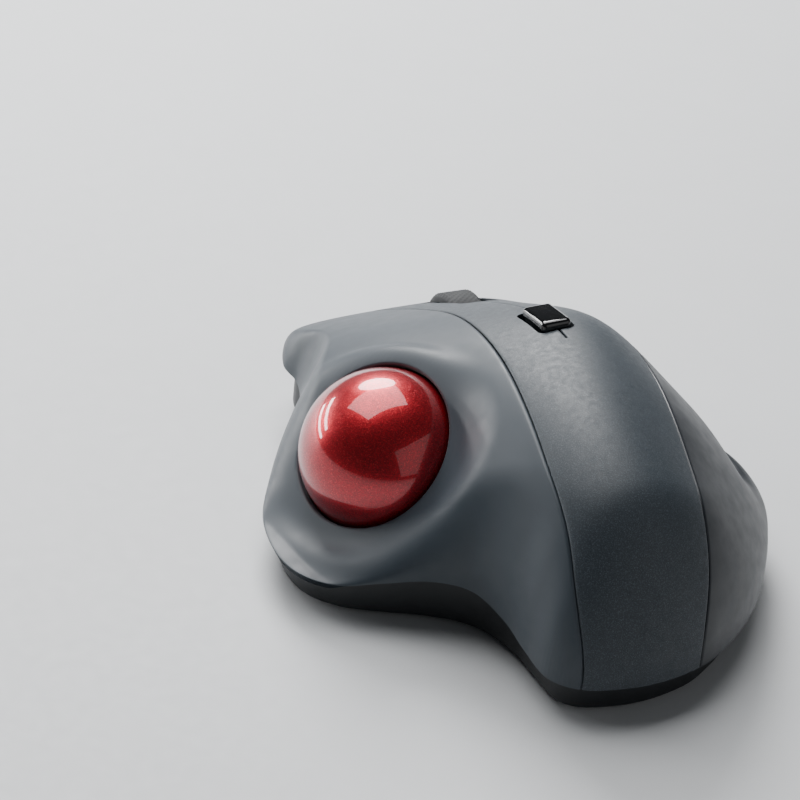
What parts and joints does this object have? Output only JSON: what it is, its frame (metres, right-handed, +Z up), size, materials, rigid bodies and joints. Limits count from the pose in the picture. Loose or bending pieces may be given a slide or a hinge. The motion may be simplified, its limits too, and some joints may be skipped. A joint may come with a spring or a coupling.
{
  "type": "trackball mouse",
  "caption": "Right-handed thumb-operated trackball mouse with a sculpted palm rest, scroll wheel, click keys and a small function button.",
  "frame": {"origin": "on the standing surface, under the middle of the footprint", "axes": "+X to the user's right, +Y forward away from the wrist, +Z up"},
  "size_m": [0.1006, 0.122, 0.0498],
  "materials": {
    "base_plastic": "fine satin moulding",
    "soft_touch_slate": "smooth soft-touch coat",
    "grained_slate": "fine speckled grain",
    "soft_touch_dark": "smooth soft-touch coat",
    "red_metallic": "metallic flake under clear polish",
    "ceramic_white": "polished ceramic",
    "clear_lens": "clear moulding",
    "chip_black": "moulded component",
    "circuit_board": "solder mask",
    "wheel_rubber": "cross-knurled",
    "wheel_metal": "turned and polished",
    "steel": "plain",
    "natural_plastic": "low-friction moulding",
    "gloss_black": "high gloss",
    "cell_wrap": "printed film without any print",
    "foot_rubber": "matt pad"
  },
  "bodies": {
    "body": {"base_case": "base_plastic", "left_shell": "soft_touch_slate", "palm_cover": "grained_slate", "right_shell": "soft_touch_dark", "ball_socket": "base_plastic", "ball_bearing_1": "ceramic_white", "ball_bearing_2": "ceramic_white", "ball_bearing_3": "ceramic_white", "sensor_lens": "clear_lens", "sensor_chip": "chip_black", "sensor_board": "circuit_board", "wheel_encoder": "chip_black", "main_board": "circuit_board", "radio_chip": "chip_black", "left_click_switch": "chip_black", "right_click_switch": "chip_black", "wheel_click_switch": "chip_black", "dpi_board": "circuit_board", "dpi_switch": "chip_black", "power_switch": "steel", "pairing_switch": "steel", "battery_cell": "cell_wrap", "battery_spring": "steel", "battery_contact": "steel", "case_screw_1": "steel", "case_screw_2": "steel", "case_screw_3": "steel", "case_screw_4": "steel", "foot_pad_1": "foot_rubber", "foot_pad_2": "foot_rubber", "foot_pad_3": "foot_rubber", "foot_pad_4": "foot_rubber", "foot_pad_5": "foot_rubber"},
    "left_key": {"left_click_key": "grained_slate"},
    "right_key": {"right_click_key": "grained_slate"},
    "ball": {"trackball": "red_metallic"},
    "carrier": {"wheel_carrier": "base_plastic"},
    "wheel": {"wheel_tyre": "wheel_rubber", "wheel_hub": "wheel_metal", "wheel_axle": "steel"},
    "function_button": {"dpi_button": "gloss_black"},
    "power_knob": {"power_slider": "natural_plastic"},
    "pair_button": {"pairing_button": "base_plastic"},
    "door": {"battery_door": "base_plastic"},
    "receiver": {"usb_receiver": "gloss_black"}
  },
  "joints": [
    {"name": "left_click", "type": "hinge", "parent": "body", "child": "left_key", "pos_m": [0.001, -0.0033, 0.0468], "axis": [-1, 0, 0], "range_deg": [0, 0.45], "stiffness_Nm_per_rad": 2},
    {"name": "right_click", "type": "hinge", "parent": "body", "child": "right_key", "pos_m": [0.0148, -0.0033, 0.0468], "axis": [-1, 0, 0], "range_deg": [0, 0.45], "stiffness_Nm_per_rad": 2},
    {"name": "ball_roll", "type": "hinge", "parent": "body", "child": "ball", "pos_m": [-0.02575, 0.0042, 0.022], "axis": [0.7071, 0, 0.7071], "continuous": true},
    {"name": "wheel_press", "type": "hinge", "parent": "body", "child": "carrier", "pos_m": [0.0074, 0.026, 0.0065], "axis": [-1, 0, 0], "range_deg": [0, 0.9], "stiffness_Nm_per_rad": 1.5},
    {"name": "wheel_spin", "type": "hinge", "parent": "carrier", "child": "wheel", "pos_m": [0.0074, 0.0432, 0.0174], "axis": [1, 0, 0], "continuous": true},
    {"name": "function_press", "type": "slide", "parent": "body", "child": "function_button", "axis": [0, 0, -1], "range_m": [0, 0.0004], "stiffness_N_per_m": 1500},
    {"name": "power_slide", "type": "slide", "parent": "body", "child": "power_knob", "axis": [0, -1, 0], "range_m": [0, 0.003]},
    {"name": "pairing_press", "type": "slide", "parent": "body", "child": "pair_button", "axis": [0, 0, 1], "range_m": [0, 0.0004], "stiffness_N_per_m": 1500},
    {"name": "door_release", "type": "slide", "parent": "body", "child": "door", "axis": [0, 0, -1], "range_m": [0, 0.012]},
    {"name": "receiver_pull", "type": "slide", "parent": "body", "child": "receiver", "axis": [0, 0, -1], "range_m": [0, 0.02]}
  ]
}
